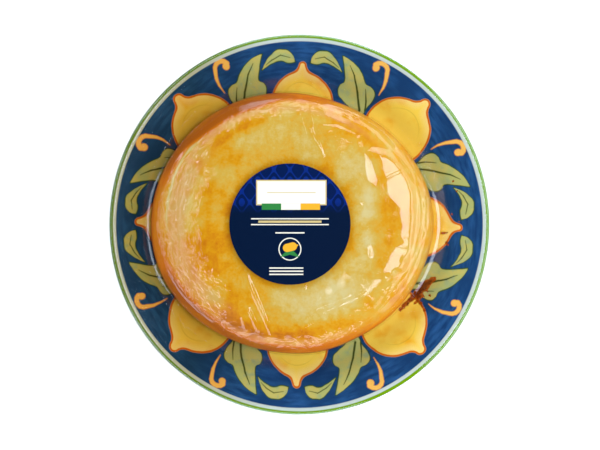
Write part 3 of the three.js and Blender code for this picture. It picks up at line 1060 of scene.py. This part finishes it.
def film_rings():
    """The smooth film: over the cheese, across to the plate, out over its rim and under its lip."""
    angle = np.linspace(0, math.tau, FILM_STEPS, endpoint=False)
    rings = [cheese_top(angle, turn) for turn in turns_down(FILM_LEAVES_CHEESE)]
    foot = cheese_foot(angle)
    away = foot[:, :2] - np.array(CHEESE_CENTRE)
    away /= np.linalg.norm(away, axis=1, keepdims=True)

    middle, spread, right_width, right_slope, right_shift = FOOT_STRIP_RIGHT
    right = facing(np.degrees(angle), middle, spread)
    middle, spread, left_width, left_slope, left_shift = FOOT_STRIP_LEFT
    left = facing(np.degrees(angle), middle, spread)
    begin = FILM_CORNER + right_shift * right + left_shift * left
    width = np.maximum(right_width * right + left_width * left, FOOT_STRIP_LEAST_WIDTH)

    def on_plate(distance):
        plan = foot[:, :2] + away * distance[:, None]
        return np.column_stack([plan, plate_top(np.hypot(*plan.T))])

    start, inner, outer = rings[-1], on_plate(begin), on_plate(begin + width)
    strip_level = outer[:, 2] + np.where(right > 0, right_slope, left_slope) * width
    inner[:, 2] += (strip_level - inner[:, 2]) * step_up(right + left, 0, 0.3)
    corner = inner - (outer - inner) * 0.3
    for t in np.linspace(0, 1, BRIDGE_ROWS + 1)[1:]:
        rings.append((1 - t) ** 2 * start + 2 * t * (1 - t) * corner + t**2 * inner)
    for t in STRIP_ROWS:
        rings.append(inner * (1 - t) + outer * t)
    circle = np.column_stack([np.cos(angle), np.sin(angle)])
    rim = circle * (PLATE_RADIUS - 1.35 * LIP_RADIUS)
    for t in RIM_ROWS:
        plan = outer[:, :2] * (1 - t) + rim * t
        rings.append(np.column_stack([plan, plate_top(np.hypot(*plan.T))]))
    for turn in np.radians(LIP_ROWS):
        radius, level = lip_point(turn)
        rings.append(np.column_stack([circle * radius, np.full(len(angle), level)]))
    return np.array(rings)


def clear_film():
    """Polyolefin shrink film: water-clear, thin and glossy, so it shows by its reflections alone."""
    material, tree = new_material("polyolefin_shrink_film")
    crumpled = add_node(tree, "Attribute", output="Fac", attribute_name="crumpled")
    facing_away = add_node(tree, "LayerWeight", 0.5, output=1)
    grazing = add_node(tree, "Math", facing_away, 5.0, operation="POWER")
    shares = (FILM_GRAZING_MIRROR, FILM_MIRROR)
    mirror = add_node(tree, "Math", grazing, *shares, operation="MULTIPLY_ADD")
    roughness = add_node(tree, "MapRange", crumpled, 0.0, 1.0, *FILM_ROUGHNESS)
    place = in_millimetres(tree)
    wrinkle = add_node(tree, "TexNoise", named={"Vector": place, "Scale": 1.3, "Detail": 2.0})
    wrinkle = add_node(tree, "Math", wrinkle, 0.5, operation="SUBTRACT")
    wrinkle = add_node(tree, "Math", wrinkle, operation="ABSOLUTE")
    depth = add_node(tree, "MapRange", crumpled, 0.0, 1.0, *FILM_WRINKLES)
    wrinkle = add_node(tree, "Math", wrinkle, depth, operation="MULTIPLY")
    bumped = add_node(tree, "Bump", named={"Strength": 1.0, "Distance": MM, "Height": wrinkle})
    gloss = add_node(tree, "BsdfAnisotropic", named={"Roughness": roughness, "Normal": bumped})
    clear = add_node(tree, "BsdfTransparent")
    show(tree, add_node(tree, "MixShader", mirror, clear, gloss))
    return material


def make_film():
    rings = film_rings()
    rings[..., 2] += taut_lift(rings)
    x, y = rings[..., 0], rings[..., 1]
    crumpled = crumple(*from_cheese_centre(x, y))
    rings = lifted(rings, GAP + FILM_STANDS_OFF + film_lift(x, y))
    rings[..., 2] = np.minimum(rings[..., 2], cad_high[2] / MM - FILM_TOP_CLEARANCE)
    film = ringed("shrink_film", rings, {"crumpled": crumpled})
    stands_for(film, "film", clear_film())


# ---- Juice ----

JUICE_THIN = linear("#bd560c")
JUICE_POOLED = linear("#5a1b07")
# Juice that baked on at the cheese's foot, and splashes of it: x, y, radius.
SMEAR = [
    (43.0, -36.0, 0.9), (44.3, -34.7, 1.0), (45.8, -33.2, 1.1), (47.3, -31.8, 1.2), (48.6, -30.4, 1.3),
    (50.0, -29.2, 1.5), (51.2, -28.0, 1.7), (52.6, -26.6, 1.9), (53.8, -25.3, 1.8), (55.0, -24.3, 1.5),
    (56.2, -23.4, 1.1), (57.3, -22.7, 0.8), (50.6, -30.8, 1.2), (50.2, -32.2, 0.9), (51.3, -33.4, 0.8),
    (51.9, -34.8, 0.5), (52.9, -36.2, 0.75), (49.3, -33.3, 0.6), (52.2, -30.2, 0.7),
    (55.2, -30.1, 0.55), (54.2, -28.0, 0.6),
]
SPLASHES = [
    (60.3, -3.6, 0.45), (61.3, -3.5, 0.5), (62.4, -3.4, 0.4), (62.3, -7.7, 0.6), (63.0, -8.4, 0.4),
    (64.5, 4.4, 0.5), (64.9, 18.3, 0.55), (66.5, 14.2, 0.5), (67.3, 1.2, 0.4),
]
JUICE_DEPTH = 0.2
JUICE_WALL = 0.3
JUICE_GRID = 0.15
# How softly its drops run together, how wide its rounded edge is, and the depth where it ends.
JUICE_MELT = 0.3
JUICE_EDGE_ROUND = 0.6
JUICE_END = -0.3
# Its ragged edge, as reach, size and two layers of noise.
JUICE_STRAYING = [(0.5, 1.5, 21.0, 23.0), (0.3, 0.6, 22.0, 24.0)]


def juice():
    """Whey caramelised in the oven: glossy, orange where it is thin and red-brown where it pooled."""
    material, tree = new_material("caramelised_whey")
    depth = add_node(tree, "Attribute", output="Fac", attribute_name="depth")
    place = in_millimetres(tree)
    uneven = add_node(tree, "Math", mottle(tree, place, 1.4), 0.3, depth, operation="MULTIPLY_ADD")
    share = add_node(tree, "MapRange", uneven, 0.5, 1.1)
    colour = blend(tree, share, JUICE_THIN, JUICE_POOLED)
    alpha = add_node(tree, "MapRange", depth, 0.0, 0.7, 0.45, 0.95)
    settings = {"Base Color": colour, "Roughness": 0.15, "IOR": 1.36, "Alpha": alpha}
    show(tree, add_node(tree, "BsdfPrincipled", named=settings))
    return material


def delete_ragged_corners():
    """In edit mode, deletes loose vertices and those where faces touch by a corner alone."""
    bpy.ops.mesh.select_all(action="SELECT")
    bpy.ops.mesh.delete_loose()
    bpy.ops.mesh.select_all(action="DESELECT")
    bpy.ops.mesh.select_non_manifold(
        use_wire=False,
        use_boundary=False,
        use_multi_face=False,
        use_non_contiguous=False,
    )
    bpy.ops.mesh.delete(type="VERT")
    bpy.ops.mesh.select_all(action="SELECT")
    bpy.ops.mesh.delete_loose()


def make_juice(name, drops):
    """A thin body of juice with rounded, ragged edges, lying on the glaze."""
    spots = np.array(drops)
    low, high = (spots[:, :2].min(axis=0) - 3) // 1, (spots[:, :2].max(axis=0) + 3) // 1
    across, up = (np.arange(low[axis], high[axis], JUICE_GRID) for axis in (0, 1))
    deselect_all()
    bpy.ops.mesh.primitive_grid_add(x_subdivisions=len(across) - 1, y_subdivisions=len(up) - 1)
    body = bpy.context.object
    body.name = name
    x, y = np.meshgrid(across, up)
    strayed_x, strayed_y = (part[..., None] for part in strayed(x, y, JUICE_STRAYING))
    apart = np.hypot(strayed_x - spots[:, 0], strayed_y - spots[:, 1]) - spots[:, 2]
    inside = JUICE_MELT * np.log(np.exp(-apart / JUICE_MELT).sum(axis=2))
    depth = np.tanh(inside / JUICE_EDGE_ROUND)
    level = plate_top(np.hypot(x, y)) + JUICE_DEPTH * depth
    places = np.stack([x, y, level], axis=-1) * MM
    body.data.vertices.foreach_set("co", places.astype(np.float32).ravel())
    layer = body.data.attributes.new("depth", "FLOAT", "POINT")
    layer.data.foreach_set("value", depth.astype(np.float32).ravel())
    bpy.ops.object.mode_set(mode="EDIT")
    bpy.ops.mesh.select_all(action="DESELECT")
    bpy.ops.object.mode_set(mode="OBJECT")
    body.data.vertices.foreach_set("select", (depth < JUICE_END).ravel())
    bpy.ops.object.mode_set(mode="EDIT")
    bpy.ops.mesh.delete(type="VERT")
    delete_ragged_corners()
    bpy.ops.mesh.select_all(action="SELECT")
    bpy.ops.mesh.extrude_region_move(TRANSFORM_OT_translate={"value": (0, 0, -JUICE_WALL * MM)})
    bpy.ops.mesh.select_all(action="SELECT")
    bpy.ops.mesh.normals_make_consistent(inside=False)
    bpy.ops.object.mode_set(mode="OBJECT")
    bpy.ops.object.shade_smooth()
    body.data.materials.append(juice())
    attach(body, "root")


# ---- Label ----

INK_NAVY = linear("#04152f")
INK_BLUE = linear("#031844")
INK_ROYAL = linear("#06246e")
INK_CREAM = linear("#ece6d2")
INK_GOLD = linear("#c8b277")
INK_LEAF = linear("#2f7a3a")
INK_AMBER = linear("#e3a52a")
INK_BLUR = 0.08


def bar(tree, place, centre, size):
    """Distance outside an upright rectangle."""
    offset = add_node(tree, "VectorMath", place, (*centre, 0), operation="SUBTRACT")
    offset = add_node(tree, "VectorMath", offset, operation="ABSOLUTE")
    offset = add_node(tree, "VectorMath", offset, (size[0] / 2, size[1] / 2, 0), operation="SUBTRACT")
    across, up = (add_node(tree, "SeparateXYZ", offset, output=axis) for axis in (0, 1))
    return add_node(tree, "Math", across, up, operation="MAXIMUM")


def damask(tree, place):
    """A repeat of pointed ovals, 1 on their outlines and their hearts."""
    wave = 0.0
    for axis, per_millimetre in ((0, 0.95), (1, 0.7)):
        run = add_node(tree, "SeparateXYZ", place, output=axis)
        run = add_node(tree, "Math", run, per_millimetre, operation="MULTIPLY")
        run = add_node(tree, "Math", run, operation="COSINE")
        wave = add_node(tree, "Math", run, wave, operation="ADD")
    outline = add_node(tree, "Math", wave, operation="ABSOLUTE")
    outline = add_node(tree, "Math", outline, 0.28, operation="LESS_THAN")
    heart = add_node(tree, "Math", wave, 1.35, operation="GREATER_THAN")
    return add_node(tree, "Math", outline, heart, operation="MAXIMUM")


def label_print():
    """Coated paper, offset printed and varnished: flat inks under a satin sheen."""
    material, tree = new_material("varnished_label_paper")
    place = in_millimetres(tree)
    place = add_node(tree, "VectorMath", place, (*LABEL_CENTRE, 0), operation="SUBTRACT")
    place = add_node(tree, "VectorMath", place, (1, 1, 0), operation="MULTIPLY")
    up = add_node(tree, "SeparateXYZ", place, output=1)
    top_half = add_node(tree, "MapRange", up, 4.5, 9.5)
    pattern = add_node(tree, "Math", damask(tree, place), top_half, operation="MULTIPLY")
    colour = blend(tree, top_half, INK_NAVY, INK_BLUE)
    colour = blend(tree, pattern, colour, INK_ROYAL)
    shapes = [
        (bar(tree, place, (0.6, 13), (29, 10.4)), INK_GOLD),
        (bar(tree, place, (0.6, 13), (28, 9.4)), INK_CREAM),
        (bar(tree, place, (0.6, 13), (20, 0.3)), INK_GOLD),
        (bar(tree, place, (0.4, 7.2), (24, 2.6)), INK_LEAF),
        (bar(tree, place, (0.4, 7.2), (8, 2.6)), INK_CREAM),
        (bar(tree, place, (8.4, 7.2), (8, 2.6)), INK_AMBER),
        (bar(tree, place, (0, 2.2), (32, 0.45)), INK_CREAM),
        (bar(tree, place, (0, -0.2), (32, 0.45)), INK_CREAM),
        (bar(tree, place, (0, 1.0), (26, 0.9)), INK_GOLD),
        (bar(tree, place, (0, -3.6), (12, 0.5)), INK_CREAM),
        (disc(tree, place, (0, -10.3), 4.7), INK_CREAM),
        (disc(tree, place, (0, -10.3), 4.3), INK_NAVY),
        (stroke(tree, place, (-3.6, -13.4), (-0.4, -11.6), 0.2, 1.1), INK_LEAF),
        (stroke(tree, place, (3.6, -13.4), (0.4, -11.6), 0.2, 1.1), INK_LEAF),
        (stroke(tree, place, (-1.2, -9.8), (1.2, -9.2), 1.7, 1.7), INK_AMBER),
        (stroke(tree, place, (2.2, -9.0), (3.1, -8.7), 0.8, 0.3), INK_AMBER),
        (bar(tree, place, (-1.5, -19.4), (14, 0.5)), INK_CREAM),
        (bar(tree, place, (-1.5, -18.1), (14, 0.5)), INK_CREAM),
        (bar(tree, place, (-1.5, -20.7), (14, 0.5)), INK_CREAM),
    ]
    for distance, ink in shapes:
        colour = blend(tree, within(tree, distance, softness=INK_BLUR), colour, ink)
    settings = {"Base Color": colour, "Roughness": 0.2, "IOR": 1.5, "Specular IOR Level": 0.2}
    show(tree, add_node(tree, "BsdfPrincipled", named=settings))
    return material


def make_label():
    low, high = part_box("label")
    deselect_all()
    bpy.ops.mesh.primitive_cylinder_add(
        vertices=160,
        radius=LABEL_RADIUS * MM,
        depth=high.z - low.z,
        location=(low + high) / 2,
    )
    label = bpy.context.object
    label.name = "round_label"
    bpy.ops.object.transform_apply(location=True, rotation=True, scale=True)
    finish_with(label, "BEVEL", width=LABEL_BEVEL * MM, segments=2)
    stands_for(label, "label", label_print())


# ---- Studio ----

# Soft boxes one metre from where they aim: name, azimuth and elevation in degrees, width and height
# in metres, and radiance.
SOFTBOXES = [
    ("right_softbox", 0, 30, (1.3, 0.5), 2.05),
    ("top_softbox", 90, 28, (1.5, 0.6), 2.1),
    ("bottom_softbox", 270, 28, (1.5, 0.6), 2.05),
    ("overhead_softbox", 0, 75, (1.0, 1.0), 0.78),
]
SOFTBOX_AIM = Vector((0, 0, 0.02))
# Lit screens round the plate, which the film mirrors: azimuth and half the width, lowest and
# highest elevation, all in degrees, and radiance.
SCREENS = [
    ((-2, 44), (64.5, 75), 5.6),
    ((0, 42), (17, 33), 2.0),
    ((-2, 47), (-12, 40), 1.3),
    ((60, 15), (-30, 8), 1.9),
    ((88, 22), (-26, 27), 2.6),
    ((130, 18), (22, 38), 3.6),
    ((155, 15), (8, 30), 1.2),
    ((190, 32), (27, 39), 2.5),
    ((180, 22), (-10, 12), 1.2),
    ((248, 42), (-8, 28), 2.5),
    ((258, 26), (-22, -8), 2.5),
]
SCREEN_DAYLIGHT = (0.78, 0.9, 1.1, 1)
SCREEN_SIDE_BLUR = 0.02
SCREEN_END_BLUR = 0.01

CAMERA_HEIGHT = 0.7
CAMERA_PLACE = (0.00025, -0.00017)
FRAME_WIDTH = 600
PLATE_RADIUS_IN_FRAME = 189.9


def make_floor():
    deselect_all()
    bpy.ops.mesh.primitive_plane_add(size=6)
    floor = bpy.context.object
    floor.name = "floor"
    material, tree = new_material("opal_acrylic_lit_from_below")
    settings = {"Base Color": (0.9, 0.9, 0.9, 1), "Roughness": 0.9}
    settings |= {"Emission Color": (1, 1, 1, 1), "Emission Strength": 0.4}
    show(tree, add_node(tree, "BsdfPrincipled", named=settings))
    floor.data.materials.append(material)
    floor.visible_glossy = False


def add_softbox(name, azimuth, elevation, size, radiance):
    """A polarised soft box, so that it lights without a mirror image. radiance is 1 for lit white."""
    turn = math.radians(azimuth)
    rise = math.radians(elevation)
    level = math.cos(rise)
    way = Vector((math.cos(turn) * level, math.sin(turn) * level, math.sin(rise)))
    lamp = bpy.data.lights.new(name, "AREA")
    lamp.shape = "RECTANGLE"
    lamp.size, lamp.size_y = size
    lamp.energy = radiance * math.pi * size[0] * size[1]
    box = bpy.data.objects.new(name, lamp)
    bpy.context.collection.objects.link(box)
    box.location = SOFTBOX_AIM + way
    box.rotation_mode = "QUATERNION"
    box.rotation_quaternion = way.to_track_quat("Z", "Y")
    box.visible_camera = False
    box.visible_glossy = False


def screen(tree, way, azimuths, elevations, radiance):
    """Light from a screen, by the direction in which it is seen."""
    middle, half = np.radians(azimuths)
    low, high = np.sin(np.radians(elevations))
    level = add_node(tree, "VectorMath", way, (1, 1, 0), operation="MULTIPLY")
    level = add_node(tree, "VectorMath", level, operation="NORMALIZE")
    aim = (math.cos(middle), math.sin(middle), 0)
    beside = add_node(tree, "VectorMath", level, aim, operation="DOT_PRODUCT", output=1)
    edge, blur = math.cos(half), SCREEN_SIDE_BLUR
    light = add_node(tree, "MapRange", beside, edge - blur, edge + blur, 0.0, radiance)
    up = add_node(tree, "SeparateXYZ", way, output=2)
    for end, blur in ((low, SCREEN_END_BLUR), (high, -SCREEN_END_BLUR)):
        inside = add_node(tree, "MapRange", up, end - blur, end + blur)
        light = add_node(tree, "Math", light, inside, operation="MULTIPLY")
    return light


def make_lights():
    for softbox in SOFTBOXES:
        add_softbox(*softbox)
    world = bpy.data.worlds.new("studio")
    bpy.context.scene.world = world
    world.use_nodes = True
    tree = world.node_tree
    way = add_node(tree, "TexCoord", output="Generated")
    strength = 0.0
    for screen_placing in SCREENS:
        light = screen(tree, way, *screen_placing)
        strength = add_node(tree, "Math", light, strength, operation="ADD")
    background = tree.nodes["Background"]
    tree.links.new(strength, background.inputs["Strength"])
    background.inputs["Color"].default_value = SCREEN_DAYLIGHT


def make_camera():
    """Looks straight down, with the lens that gives the plate its width in the frame."""
    scene = bpy.context.scene
    data = bpy.data.cameras.new("camera")
    camera = bpy.data.objects.new("camera", data)
    scene.collection.objects.link(camera)
    level = (plate_top(PLATE_RADIUS - LIP_RADIUS) - LIP_RADIUS) * MM
    pixels = PLATE_RADIUS_IN_FRAME * (CAMERA_HEIGHT - level) / (PLATE_RADIUS * MM)
    data.lens = data.sensor_width * pixels / FRAME_WIDTH
    camera.location = (*CAMERA_PLACE, CAMERA_HEIGHT)
    scene.camera = camera


make_camera()
make_plate()
make_cheese()
make_film()
make_juice("whey_smear", SMEAR)
make_juice("whey_splashes", SPLASHES)
make_label()
make_floor()
make_lights()
bpy.context.scene.view_settings.view_transform = "Standard"
